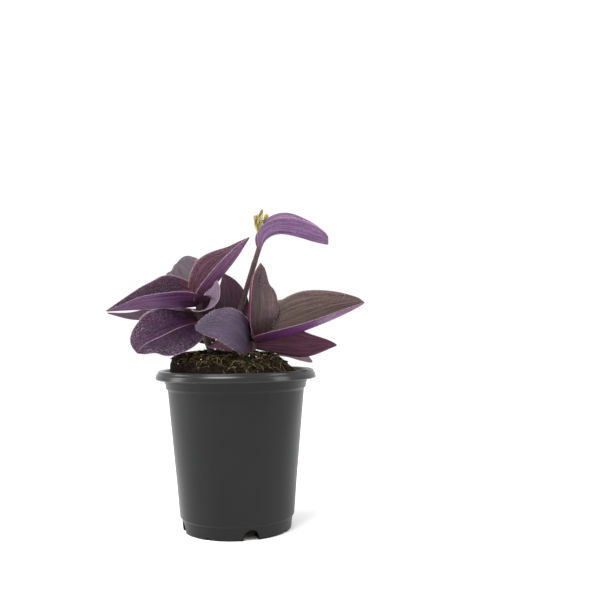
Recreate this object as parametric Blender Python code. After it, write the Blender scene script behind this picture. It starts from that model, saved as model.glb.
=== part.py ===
"""Potted tradescantia: a round nursery pot, its potting mix, and the shoots of a purple-leaved plant.

The frame stands on the floor: +Z is up, the pot's axis is the Z axis, and the front is towards -Y.
Lengths are in metres. Leaf and stem routes are listed in millimetres, which MM turns into metres.
"""

import math

import bmesh
import bpy
from mathutils import Vector

MM = 0.001

# ---------------------------------------------------------------- pot
RIM_RADIUS = 59 * MM
POT_HEIGHT = 116 * MM
SKIRT_HEIGHT = 6.4 * MM
SHOULDER_RADIUS = 50 * MM
SHOULDER_HEIGHT = 100 * MM
LEDGE_HEIGHT = 10 * MM
LEDGE_RADIUS = 41.8 * MM
BASE_RADIUS = 39.5 * MM
WALL = 1.3 * MM
FOOT_WIDTH = 8 * MM
BASE_RISE = 3 * MM
POT_SEGMENTS = 64
NOTCHES = 4
FIRST_NOTCH = math.radians(14)
ARCH_WIDTH = 11 * MM
ARCH_HEIGHT = 7.5 * MM
NICK_WIDTH = 5 * MM
NICK_HEIGHT = 1.5 * MM

# ---------------------------------------------------------------- potting mix
GAP = 0.3 * MM
MIX_CREST = 12.5 * MM
MIX_EDGE_DROP = 3 * MM
FRONT_SLOPE = 0.1
MIX_SEGMENTS = 32

# ---------------------------------------------------------------- plant
LEAF_THICKNESS = 1.2 * MM
MARGIN_THICKNESS = 0.7 * MM
LEAF_STEPS = 12
HALF_BLADE_STEPS = 3
STEM_SIDES = 10
CLASP = 0.3         # a leaf's base, as a share of its half width

# Each stem's radius and route, from inside the mix to its top.
STEMS = {
    "flower_stem": (2.1, [(-9, 4, 108), (-7, 4, 129), (-2, 4, 146), (4, 5, 162), (10.5, 6, 183),
                          (19.8, 6, 212)]),
    "left_stem": (2.6, [(-15, 0, 108), (-18, -1, 128), (-23, 0, 142), (-27, 1, 155), (-27, 2, 167)]),
    "right_stem": (2.6, [(11, 2, 108), (12, 0, 128), (13, 0, 142)]),
    "back_stem": (2.5, [(3, 20, 108), (4, 22, 130), (5, 25, 150)]),
    "side_shoot": (1.6, [(26, 13, 108), (31, 16, 126)]),
}

# Each leaf: its keel's route from base to tip, the way its upper side faces at the base and at the tip,
# its two half widths (left, right), how far each half folds up from flat (the same pair again for the tip
# where that differs), how much further it curls towards its margin, where along it is widest, and how
# blunt its tip is (under 1 is blunt).
LEAVES = {
    "long_right_leaf": dict(
        route=[(17, -1.6, 136), (37, -8, 140), (61, -12, 148), (82, -14, 157), (95, -14, 164)],
        face=[(-0.1, -0.5, 0.8), (-0.2, -0.6, 0.8)], half_width=(28, 22), fold=(48, 45), curl=(10, 8),
        widest=0.45, tip=0.62),
    "upright_leaf": dict(
        route=[(13, -3.4, 140), (10, -9, 151), (10, -11, 165), (12, -8, 182), (19, -3, 195)],
        face=[(0.62, -0.78, 0.1), (0.75, -0.65, -0.1)], half_width=(14, 22), fold=(46, 40, 48, 22),
        curl=(5, 5),
        widest=0.42, tip=0.55, base=0.8),
    "lower_right_leaf": dict(
        route=[(15, 1.2, 131), (34, 0, 127), (53, -2, 125), (75, -6, 133)],
        face=[(0, 0.75, 0.65), (0, 0.75, 0.65)], half_width=(12, 21), fold=(45, 45), curl=(5, 5),
        widest=0.48, tip=0.8),
    "front_leaf": dict(
        route=[(10, -4.2, 131.8), (2, -24, 142), (-10, -36, 147), (-28, -44, 147)],
        face=[(-0.2, -0.85, 0.45), (-0.2, -0.95, 0.3)], half_width=(14, 16), fold=(20, 15), curl=(-30, -20),
        widest=0.5, tip=0.75),
    "lower_left_leaf": dict(
        route=[(-28, -1.8, 151), (-40, -18, 147), (-52, -30, 141), (-62, -38, 136), (-67, -42, 130)],
        face=[(-0.2, -0.85, 0.45), (-0.3, -0.9, 0.3)], half_width=(22, 21), fold=(12, 12), curl=(-15, 10),
        widest=0.55, tip=0.6),
    "left_leaf": dict(
        route=[(-30, 1, 163), (-52, -4, 161), (-69, -6, 161), (-94, -8, 160)],
        face=[(0, -0.37, 0.93), (0, -0.37, 0.93)], half_width=(23, 26), fold=(50, 50), curl=(5, 5),
        widest=0.3, tip=1.05),
    "lower_back_left_leaf": dict(
        route=[(-29, 4.2, 156), (-53, 10, 155), (-75, 8, 154), (-95, 4, 159)],
        face=[(0, 0.1, 1), (0, 0.1, 1)], half_width=(14, 14), fold=(28, 28), curl=(5, 5),
        widest=0.4, tip=1),
    "upper_back_leaf": dict(
        route=[(-28, 5.4, 167), (-32, 16, 182), (-39, 24, 194), (-45, 28, 198)],
        face=[(0, -0.8, 0.5), (-0.2, -0.8, 0.5)], half_width=(22, 15), fold=(20, 20), curl=(5, 5),
        widest=0.5, tip=0.55),
    "upper_left_leaf": dict(
        route=[(-24, 1, 167), (-12, -5, 182), (0, -6, 197), (7, -1, 208), (11, 3, 215)],
        face=[(-0.75, -0.45, 0.56), (-0.75, -0.45, 0.56)], half_width=(22, 17), fold=(50, 50), curl=(5, 5),
        widest=0.32, tip=1),
    "dark_back_leaf": dict(
        route=[(-2, 7.4, 147), (-3, 16, 164), (-5, 20, 178), (-9, 22, 189)],
        face=[(0, -1, 0.2), (0, -1, 0.2)], half_width=(14, 14), fold=(20, 20), curl=(5, 5),
        widest=0.4, tip=0.85),
    "curled_leaf": dict(
        route=[(-28, -1.8, 159), (-22, -20, 159.2), (-14, -27, 164), (-12, -28, 172), (-13, -25, 181)],
        face=[(0, -0.3, 1), (-0.7, -0.6, 0.2)], half_width=(17, 8), fold=(6, 30), curl=(5, 5),
        widest=0.5, tip=0.85),
    "far_right_leaf": dict(
        route=[(15, 3.2, 139), (26, 16, 155), (36, 20, 165), (42, 22, 169)],
        face=[(0, -0.5, 0.8), (0, -0.5, 0.8)], half_width=(10, 10), fold=(30, 30), curl=(5, 5),
        widest=0.4, tip=1),
    "small_leaf": dict(
        route=[(33, 17, 127), (47, 24, 125), (60, 29, 119)],
        face=[(0, -0.9, 0.4), (0, -0.9, 0.4)], half_width=(5, 4), fold=(10, 10), curl=(5, 5),
        widest=0.5, tip=0.7),
    "young_leaf": dict(
        route=[(-17.4, -3.4, 134), (-12, -14, 134), (-2, -22, 130)],
        face=[(0, -0.8, 0.6), (0, -0.8, 0.6)], half_width=(6, 6), fold=(20, 20), curl=(5, 5),
        widest=0.4, tip=0.8),
    "flower_leaf": dict(
        route=[(22.4, 5, 212), (28, 2, 216), (36, 0, 217), (47, -2, 214.5), (59, -5, 210.5), (69.5, -6, 208)],
        face=[(-0.5, -0.4, 0.8), (0.3, -0.1, 0.95)], half_width=(16, 16), fold=(60, 60), curl=(5, 5),
        widest=0.45, tip=0.34, base=1.1),
    "inner_left_leaf": dict(
        route=[(-22, 3.4, 137), (-23, 12, 146), (-22, 19, 160), (-22, 24, 177)],
        face=[(0, -1, 0.3), (0, -1, 0.3)], half_width=(9, 12), fold=(15, 15), curl=(5, 5),
        widest=0.55, tip=0.5),
    "back_left_leaf": dict(
        route=[(0.8, 24, 138), (-20, 36, 145), (-42, 50, 140)],
        face=[(-0.1, -0.3, 1), (-0.3, 0.5, 0.8)], half_width=(14, 14), fold=(35, 35), curl=(5, 5),
        widest=0.4, tip=0.9),
    "back_leaf": dict(
        route=[(4.5, 28.1, 148), (0, 42, 157), (-6, 56, 153)],
        face=[(0, -0.5, 0.8), (0, 0.3, 1)], half_width=(14, 14), fold=(35, 35), curl=(5, 5),
        widest=0.4, tip=0.9),
    "back_right_leaf": dict(
        route=[(7.6, 25.4, 142), (28, 38, 150), (46, 48, 145)],
        face=[(0, -0.3, 1), (0.3, 0.3, 1)], half_width=(14, 14), fold=(35, 35), curl=(5, 5),
        widest=0.4, tip=0.9),
    "trailing_leaf": dict(
        route=[(4, 26, 134), (10, 42, 136), (14, 56, 127)],
        face=[(0, 0, 1), (0, 0.7, 0.7)], half_width=(12, 12), fold=(30, 30), curl=(5, 5),
        widest=0.4, tip=0.9),
}

# The spent flowers on the flower stem: direction round the stem, lean outwards, length and thickness.
BUDS = [(35, 8, 23, 1.5), (110, 9, 26, 1.6), (185, 10, 21, 1.7), (245, 9, 24, 1.5)]
BUD_RING = 1.3 * MM
BUD_SIDES = 10


def clear_scene():
    for obj in list(bpy.data.objects):
        bpy.data.objects.remove(obj)


def material(name, colour, roughness):
    made = bpy.data.materials.get(name)
    if made is None:
        made = bpy.data.materials.new(name)
        made.use_nodes = True
        shader = made.node_tree.nodes["Principled BSDF"]
        shader.inputs["Base Color"].default_value = (*colour, 1)
        shader.inputs["Roughness"].default_value = roughness
        made.diffuse_color = (*colour, 1)
    return made


def add_object(name, mesh, finish):
    obj = bpy.data.objects.new(name, mesh)
    bpy.context.scene.collection.objects.link(obj)
    if finish:
        mesh.materials.append(finish)
    return obj


def mesh_from(name, build):
    """A mesh object's data, made by build(bm) in an empty bmesh."""
    bm = bmesh.new()
    build(bm)
    bmesh.ops.recalc_face_normals(bm, faces=bm.faces)
    mesh = bpy.data.meshes.new(name)
    bm.to_mesh(mesh)
    bm.free()
    return mesh


def turned(bm, profile, segments):
    """Spins a closed (radius, height) profile that doesn't touch the axis, or one whose ends lie on it."""
    rings = []
    for radius, height in profile:
        if radius < 1e-6:
            rings.append([bm.verts.new((0, 0, height))])
            continue
        ring = []
        for i in range(segments):
            angle = math.tau * i / segments
            ring.append(bm.verts.new((radius * math.cos(angle), radius * math.sin(angle), height)))
        rings.append(ring)
    pairs = list(zip(rings, rings[1:]))
    if len(rings[0]) > 1:
        pairs.append((rings[-1], rings[0]))
    for lower, upper in pairs:
        for i in range(segments):
            corners = [lower[i % len(lower)], lower[(i + 1) % len(lower)],
                       upper[(i + 1) % len(upper)], upper[i % len(upper)]]
            corners = list(dict.fromkeys(corners))
            if len(corners) > 2:
                bm.faces.new(corners)


def pot_profile():
    """The wall's section: up the outside, over the rim, down the inside, then across the raised base."""
    skirt = POT_HEIGHT - SKIRT_HEIGHT
    outside = [
        (BASE_RADIUS - 0.6 * MM, 0),
        (BASE_RADIUS, 0.6 * MM),
        (LEDGE_RADIUS - 1.3 * MM, LEDGE_HEIGHT - 0.8 * MM),
        (LEDGE_RADIUS, LEDGE_HEIGHT + 0.4 * MM),
        (SHOULDER_RADIUS, SHOULDER_HEIGHT),
        (SHOULDER_RADIUS + 0.2 * MM, SHOULDER_HEIGHT + 1.6 * MM),
        (SHOULDER_RADIUS + 1.5 * MM, SHOULDER_HEIGHT + 3.2 * MM),
        (SHOULDER_RADIUS + 1.8 * MM, SHOULDER_HEIGHT + 6.0 * MM),
        (SHOULDER_RADIUS + 3.4 * MM, SHOULDER_HEIGHT + 9.4 * MM),
    ]
    rim = [
        (RIM_RADIUS - 4.6 * MM, POT_HEIGHT - 2.6 * MM),
        (RIM_RADIUS - 2.4 * MM, POT_HEIGHT - 3.2 * MM),
        (RIM_RADIUS - 1.4 * MM, skirt),
        (RIM_RADIUS - 0.2 * MM, skirt),
        (RIM_RADIUS, skirt + 0.6 * MM),
        (RIM_RADIUS - 0.5 * MM, POT_HEIGHT - 3.0 * MM),
        (RIM_RADIUS - 1.4 * MM, POT_HEIGHT - 2.0 * MM),
        (RIM_RADIUS - 1.7 * MM, POT_HEIGHT - 0.8 * MM),
        (RIM_RADIUS - 2.6 * MM, POT_HEIGHT - 0.1 * MM),
        (RIM_RADIUS - 4.4 * MM, POT_HEIGHT),
        (RIM_RADIUS - 5.6 * MM, POT_HEIGHT - 0.6 * MM),
    ]
    inside = [
        (SHOULDER_RADIUS + 1.2 * MM, SHOULDER_HEIGHT + 7 * MM),
        (SHOULDER_RADIUS - WALL, SHOULDER_HEIGHT),
        (LEDGE_RADIUS - WALL, LEDGE_HEIGHT + 0.6 * MM),
        (LEDGE_RADIUS - WALL - 1.4 * MM, LEDGE_HEIGHT - 1.2 * MM),
        (BASE_RADIUS - WALL - 0.2 * MM, BASE_RISE + WALL),
        (0, BASE_RISE + WALL),
    ]
    under = [
        (0, BASE_RISE),
        (BASE_RADIUS - FOOT_WIDTH - 1.5 * MM, BASE_RISE),
        (BASE_RADIUS - FOOT_WIDTH, 0),
    ]
    return under + outside + rim + inside


def arch_cutter(name, width, height, angle):
    """A helper solid, a round-topped bar that lies across the foot at this angle from the front."""
    def build(bm):
        steps = 8
        radius = width / 2
        section = [(-radius, -2 * MM), (radius, -2 * MM)]
        for i in range(steps + 1):
            turn = math.pi * i / steps
            rise = max(height - radius, 0) + min(radius, height) * math.sin(turn)
            section.append((radius * math.cos(turn), rise))
        near, far = BASE_RADIUS - FOOT_WIDTH - 3 * MM, BASE_RADIUS + 4 * MM
        rings = [[bm.verts.new((x, -depth, z)) for x, z in section] for depth in (near, far)]
        for i in range(len(section)):
            j = (i + 1) % len(section)
            bm.faces.new([rings[0][i], rings[0][j], rings[1][j], rings[1][i]])
        for ring in rings:
            bm.faces.new(ring)

    cutter = add_object(name, mesh_from(name, build), None)
    cutter.rotation_euler.z = angle
    cutter.hide_render = True
    cutter.display_type = "WIRE"
    return cutter


def add_pot(finish):
    mesh = mesh_from("pot", lambda bm: turned(bm, pot_profile(), POT_SEGMENTS))
    pot = add_object("pot", mesh, finish)
    for i in range(NOTCHES):
        angle = FIRST_NOTCH + math.tau * i / NOTCHES
        between = angle + math.pi / NOTCHES
        for label, width, height, at in (("arch", ARCH_WIDTH, ARCH_HEIGHT, angle),
                                         ("nick", NICK_WIDTH, NICK_HEIGHT, between)):
            cut = pot.modifiers.new(f"{label}_{i}", "BOOLEAN")
            cut.operation = "DIFFERENCE"
            cut.object = arch_cutter(f"{label}_cutter_{i}", width, height, at)
    mesh.shade_smooth()
    mesh.set_sharp_from_angle(angle=math.radians(35))
    return pot


def in_metres(route):
    return [Vector(point) * MM for point in route]


def smooth_route(points, steps):
    """steps + 1 points evenly spaced along a Catmull-Rom curve through these points."""
    ends = [2 * points[0] - points[1], *points, 2 * points[-1] - points[-2]]
    fine = []
    for a, b, c, d in zip(ends, ends[1:], ends[2:], ends[3:]):
        for i in range(16):
            t = i / 16
            fine.append(0.5 * ((2 * b) + (c - a) * t + (2 * a - 5 * b + 4 * c - d) * t * t
                               + (3 * b - a - 3 * c + d) * t ** 3))
    fine.append(points[-1].copy())
    lengths = [0.0]
    for a, b in zip(fine, fine[1:]):
        lengths.append(lengths[-1] + (b - a).length)
    even = []
    k = 0
    for i in range(steps + 1):
        at = lengths[-1] * i / steps
        while k < len(fine) - 2 and lengths[k + 1] < at:
            k += 1
        share = (at - lengths[k]) / (lengths[k + 1] - lengths[k])
        even.append(fine[k].lerp(fine[k + 1], min(max(share, 0), 1)))
    return even


def tangents(points):
    ahead = points[1:] + [2 * points[-1] - points[-2]]
    behind = [2 * points[0] - points[1]] + points[:-1]
    return [(b - a).normalized() for a, b in zip(behind, ahead)]


def add_tube(name, radius, route, finish):
    """A stem: a round bar along its route, a little thicker at its foot, with flat ends."""
    centres = smooth_route(in_metres(route), 3 * (len(route) - 1))
    along = tangents(centres)

    def build(bm):
        rings = []
        side = along[0].orthogonal().normalized()
        for i, (centre, direction) in enumerate(zip(centres, along)):
            side = (side - side.dot(direction) * direction).normalized()
            across = direction.cross(side)
            girth = radius * MM * (1.1 - 0.2 * i / (len(centres) - 1))
            ring = []
            for j in range(STEM_SIDES):
                angle = math.tau * j / STEM_SIDES
                spoke = math.cos(angle) * side + math.sin(angle) * across
                ring.append(bm.verts.new(centre + girth * spoke))
            rings.append(ring)
        for lower, upper in zip(rings, rings[1:]):
            for j in range(STEM_SIDES):
                k = (j + 1) % STEM_SIDES
                bm.faces.new([lower[j], lower[k], upper[k], upper[j]])
        bm.faces.new(rings[0])
        bm.faces.new(rings[-1])

    return add_object(name, mesh_from(name, build), finish)


def blade_width(t, leaf):
    """Share of the half width at t, from 0 at the base to 1 at the tip."""
    clasp = CLASP * (1 - t) ** 3
    bow = math.sin(math.pi * min(t, 1) ** (math.log(0.5) / math.log(leaf["widest"])))
    bluntness = leaf["tip"] if t > leaf["widest"] else leaf.get("base", leaf["tip"])
    return clasp + (1 - clasp) * max(bow, 0) ** bluntness


def half_section(width, fold, curl, share):
    """How far out and how far up a half blade has come at this share of its width."""
    start, turn = math.radians(fold), math.radians(curl)
    if abs(turn) < 1e-4:
        return width * share * math.cos(start), width * share * math.sin(start)
    out = (math.sin(start + turn * share) - math.sin(start)) / turn
    up = (math.cos(start) - math.cos(start + turn * share)) / turn
    return width * out, width * up


def leaf_surface(leaf, steps, half_steps):
    """Rows of points across the leaf's middle surface, from base to tip and from left margin to right."""
    centres = smooth_route(in_metres(leaf["route"]), steps)
    along = tangents(centres)
    faces = [Vector(direction).normalized() for direction in leaf["face"]]
    folds = leaf["fold"]
    rows = []
    for i, (centre, direction) in enumerate(zip(centres, along)):
        t = i / steps
        face = faces[0].lerp(faces[1], t)
        face = (face - face.dot(direction) * direction).normalized()
        right = direction.cross(face)
        share = blade_width(t, leaf)
        row = []
        for j in range(-half_steps, half_steps + 1):
            side = 1 if j > 0 else 0
            width = leaf["half_width"][side] * MM * share
            fold = folds[side] + (folds[side - 2] - folds[side]) * t
            out, up = half_section(width, fold, leaf["curl"][side], abs(j) / half_steps)
            row.append(centre + right * math.copysign(out, j) + face * up)
        rows.append(row)
    return rows


def surface_normals(rows):
    normals = []
    last_row, last_column = len(rows) - 1, len(rows[0]) - 1
    for i in range(len(rows)):
        line = []
        for j in range(len(rows[0])):
            k = min(i, last_row - 1)
            lengthwise = rows[min(k + 1, last_row)][j] - rows[max(k - 1, 0)][j]
            across = rows[k][min(j + 1, last_column)] - rows[k][max(j - 1, 0)]
            line.append(across.cross(lengthwise).normalized())
        normals.append(line)
    return normals


def add_leaf(name, leaf, finish):
    """One leaf as a closed solid: its upper and lower skins, joined round the margin."""
    rows = leaf_surface(leaf, LEAF_STEPS, HALF_BLADE_STEPS)[:-1]
    tip = in_metres(leaf["route"])[-1]
    normals = surface_normals(rows)
    columns = len(rows[0])

    def build(bm):
        skins = []
        for sign in (1, -1):
            skin = []
            for row, line in zip(rows, normals):
                verts = []
                for j, (point, normal) in enumerate(zip(row, line)):
                    margin = abs(j - HALF_BLADE_STEPS) / HALF_BLADE_STEPS
                    thickness = LEAF_THICKNESS + (MARGIN_THICKNESS - LEAF_THICKNESS) * margin
                    verts.append(bm.verts.new(point + sign * normal * thickness / 2))
                skin.append(verts)
            skins.append(skin)
        point = bm.verts.new(tip)
        upper, lower = skins
        for skin in skins:
            for a, b in zip(skin, skin[1:]):
                for j in range(columns - 1):
                    bm.faces.new([a[j], a[j + 1], b[j + 1], b[j]])
            for j in range(columns - 1):
                bm.faces.new([skin[-1][j], skin[-1][j + 1], point])
        for j in (0, columns - 1):
            for i in range(len(rows) - 1):
                bm.faces.new([upper[i][j], upper[i + 1][j], lower[i + 1][j], lower[i][j]])
            bm.faces.new([upper[-1][j], point, lower[-1][j]])
        for j in range(columns - 1):
            bm.faces.new([upper[0][j], upper[0][j + 1], lower[0][j + 1], lower[0][j]])

    mesh = mesh_from(name, build)
    mesh.shade_smooth()
    return add_object(name, mesh, finish)


def mix_height(x, y):
    """The potting mix's top: a low mound, steeper on the left, with small lumps."""
    reach = math.hypot((x + 4 * MM) / (47 * MM), y / (50 * MM))
    steepness = max(4, 6 - x / (5 * MM))
    mound = MIX_CREST * max(0, 1 - reach ** steepness) - MIX_EDGE_DROP * min(reach, 1.2) ** 6
    slope = FRONT_SLOPE * min(y, 0)
    lumps = 0.6 * MM * math.sin(x / (4.1 * MM) + 1.3 * math.sin(y / (5.3 * MM)))
    lumps += 0.5 * MM * math.sin(y / (3.3 * MM) + math.sin(x / (6.1 * MM)))
    return POT_HEIGHT + mound + slope + lumps * max(0, 1 - reach ** 4)


def add_mix(finish, stem_cutters):
    """The potting mix fills the pot to its mound, and is open where the stems are rooted in it."""
    edge = SHOULDER_RADIUS - WALL - GAP
    foot = BASE_RADIUS - WALL - 0.5 * MM - GAP
    floor = BASE_RISE + WALL + GAP

    def build(bm):
        rings = []
        for share in (0.18, 0.36, 0.54, 0.7, 0.83, 0.93, 1):
            ring = []
            for i in range(MIX_SEGMENTS):
                angle = math.tau * i / MIX_SEGMENTS
                x, y = edge * share * math.cos(angle), edge * share * math.sin(angle)
                ring.append(bm.verts.new((x, y, mix_height(x, y))))
            rings.append(ring)
        for radius, height in ((edge, SHOULDER_HEIGHT), (LEDGE_RADIUS - WALL - GAP, LEDGE_HEIGHT + 1 * MM),
                               (foot - 0.5 * MM, floor + 2.5 * MM), (foot - 1.2 * MM, floor)):
            rings.append([bm.verts.new((radius * math.cos(math.tau * i / MIX_SEGMENTS),
                                        radius * math.sin(math.tau * i / MIX_SEGMENTS), height))
                          for i in range(MIX_SEGMENTS)])
        crown = bm.verts.new((0, 0, mix_height(0, 0)))
        bed = bm.verts.new((0, 0, floor))
        for a, b in zip(rings, rings[1:]):
            for i in range(MIX_SEGMENTS):
                j = (i + 1) % MIX_SEGMENTS
                bm.faces.new([a[i], b[i], b[j], a[j]])
        for i in range(MIX_SEGMENTS):
            j = (i + 1) % MIX_SEGMENTS
            bm.faces.new([crown, rings[0][i], rings[0][j]])
            bm.faces.new([bed, rings[-1][j], rings[-1][i]])

    mix = add_object("potting_mix", mesh_from("potting_mix", build), finish)
    for cutter in stem_cutters:
        cut = mix.modifiers.new(cutter.name, "BOOLEAN")
        cut.operation = "DIFFERENCE"
        cut.object = cutter
    return mix


def add_stems(finish):
    """The stems, and for each a slightly fatter helper that opens its socket in the mix."""
    cutters = []
    for name, (radius, route) in STEMS.items():
        add_tube(name, radius, route, finish)
        below = Vector(route[0]) - 1.5 * (Vector(route[1]) - Vector(route[0])).normalized()
        cutter = add_tube(f"{name}_socket", radius + 0.6, [tuple(below), *route[:3]], None)
        cutter.hide_render = True
        cutter.display_type = "WIRE"
        cutters.append(cutter)
    return cutters


def add_bud(name, around, lean, length, radius, finish):
    """One spent flower: a slim bud on its stalk, leaning out from the flower stem's top."""
    top = in_metres(STEMS["flower_stem"][1])[-1]
    outward = Vector((math.cos(math.radians(around)), math.sin(math.radians(around)), 0))
    tilt = math.radians(lean)
    axis = outward * math.sin(tilt) + Vector((0, 0, math.cos(tilt)))
    foot = top + Vector((0, 0, 1 * MM)) + outward * BUD_RING
    side = axis.orthogonal().normalized()
    across = axis.cross(side)
    shape = ((0, 0.45), (0.3, 0.45), (0.5, 0.9), (0.68, 1), (0.85, 0.8))

    def build(bm):
        rings = []
        for along, share in shape:
            girth = radius * MM * share
            if along < 0.4:
                girth = 0.5 * MM
            ring = []
            for i in range(BUD_SIDES):
                angle = math.tau * i / BUD_SIDES
                spoke = math.cos(angle) * side + math.sin(angle) * across
                ring.append(bm.verts.new(foot + axis * length * MM * along + girth * spoke))
            rings.append(ring)
        for lower, upper in zip(rings, rings[1:]):
            for i in range(BUD_SIDES):
                j = (i + 1) % BUD_SIDES
                bm.faces.new([lower[i], lower[j], upper[j], upper[i]])
        bm.faces.new(rings[0])
        peak = bm.verts.new(foot + axis * length * MM)
        for i in range(BUD_SIDES):
            bm.faces.new([rings[-1][i], rings[-1][(i + 1) % BUD_SIDES], peak])

    return add_object(name, mesh_from(name, build), finish)


def main():
    clear_scene()
    plastic = material("pot_plastic", (0.035, 0.036, 0.038), 0.45)
    earth = material("potting_mix", (0.03, 0.02, 0.012), 0.95)
    stem = material("stem", (0.12, 0.07, 0.08), 0.5)
    blade = material("leaf", (0.14, 0.06, 0.14), 0.45)
    bud = material("spent_flower", (0.4, 0.34, 0.1), 0.8)
    add_pot(plastic)
    add_mix(earth, add_stems(stem))
    for name, leaf in LEAVES.items():
        add_leaf(name, leaf, blade)
    for i, (around, lean, length, radius) in enumerate(BUDS):
        add_bud(f"bud_{i + 1}", around, lean, length, radius, bud)


main()
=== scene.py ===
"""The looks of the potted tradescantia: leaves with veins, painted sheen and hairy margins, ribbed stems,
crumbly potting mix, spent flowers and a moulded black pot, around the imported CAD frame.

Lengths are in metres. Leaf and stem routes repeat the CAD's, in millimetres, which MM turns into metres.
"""
import math
import random

import bmesh
import bpy
from mathutils import Matrix, Vector, noise


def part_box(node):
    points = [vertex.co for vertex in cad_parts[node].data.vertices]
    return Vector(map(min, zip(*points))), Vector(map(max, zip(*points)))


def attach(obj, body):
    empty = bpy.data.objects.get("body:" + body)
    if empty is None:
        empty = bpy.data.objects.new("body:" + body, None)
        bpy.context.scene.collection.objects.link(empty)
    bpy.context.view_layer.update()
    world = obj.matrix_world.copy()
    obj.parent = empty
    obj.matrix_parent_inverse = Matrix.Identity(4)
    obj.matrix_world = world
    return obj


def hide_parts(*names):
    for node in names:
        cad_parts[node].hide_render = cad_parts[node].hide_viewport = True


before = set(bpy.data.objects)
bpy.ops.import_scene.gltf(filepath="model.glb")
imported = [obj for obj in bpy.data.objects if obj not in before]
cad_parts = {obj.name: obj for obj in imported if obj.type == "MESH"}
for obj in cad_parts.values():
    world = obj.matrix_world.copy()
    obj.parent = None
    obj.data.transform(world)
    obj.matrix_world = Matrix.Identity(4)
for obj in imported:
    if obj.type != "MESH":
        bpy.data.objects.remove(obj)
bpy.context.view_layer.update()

MM = 0.001

# ---------------------------------------------------------------- pot and mix
RIM_RADIUS = 59 * MM
POT_HEIGHT = 116 * MM
SKIRT_HEIGHT = 6.4 * MM
SHOULDER_RADIUS = 50 * MM
SHOULDER_HEIGHT = 100 * MM
LEDGE_HEIGHT = 10 * MM
LEDGE_RADIUS = 41.8 * MM
BASE_RADIUS = 39.5 * MM
WALL = 1.3 * MM
FOOT_WIDTH = 8 * MM
BASE_RISE = 3 * MM
POT_SEGMENTS = 192
EDGE_ROUNDING = 0.25 * MM
SHARP_ANGLE = math.radians(35)
NOTCHES = 4
FIRST_NOTCH = math.radians(14)
ARCH_WIDTH = 11 * MM
ARCH_HEIGHT = 7.5 * MM
NICK_WIDTH = 5 * MM
NICK_HEIGHT = 1.5 * MM
MIX_CREST = 12.5 * MM
MIX_EDGE_DROP = 3 * MM
FRONT_SLOPE = 0.1
MIX_RADIUS = 48.4 * MM
MIX_FOOT_RADIUS = 36.5 * MM
MIX_SIDE = 14 * MM
MIX_SEGMENTS = 120
MIX_RINGS = 44

# ---------------------------------------------------------------- plant
LEAF_THICKNESS = 1.0 * MM
MARGIN_THICKNESS = 0.35 * MM
CLASP = 0.55
SHEATH = 2.4 * MM
LEAF_STEPS = 44
HALF_BLADE_STEPS = 12
STEM_SIDES = 30
HAIR_LENGTH = 1.1 * MM
HAIR_WIDTH = 0.09 * MM

# Each stem's radius and route, from inside the mix to its top.
STEMS = {
    "flower_stem": (2.1, [(-9, 4, 108), (-7, 4, 129), (-2, 4, 146), (4, 5, 162), (10.5, 6, 183),
                          (19.8, 6, 212)]),
    "left_stem": (2.6, [(-15, 0, 108), (-18, -1, 128), (-23, 0, 142), (-27, 1, 155), (-27, 2, 167)]),
    "right_stem": (2.6, [(11, 2, 108), (12, 0, 128), (13, 0, 142)]),
    "back_stem": (2.5, [(3, 20, 108), (4, 22, 130), (5, 25, 150)]),
    "side_shoot": (1.6, [(26, 13, 108), (31, 16, 126)]),
}

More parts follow.
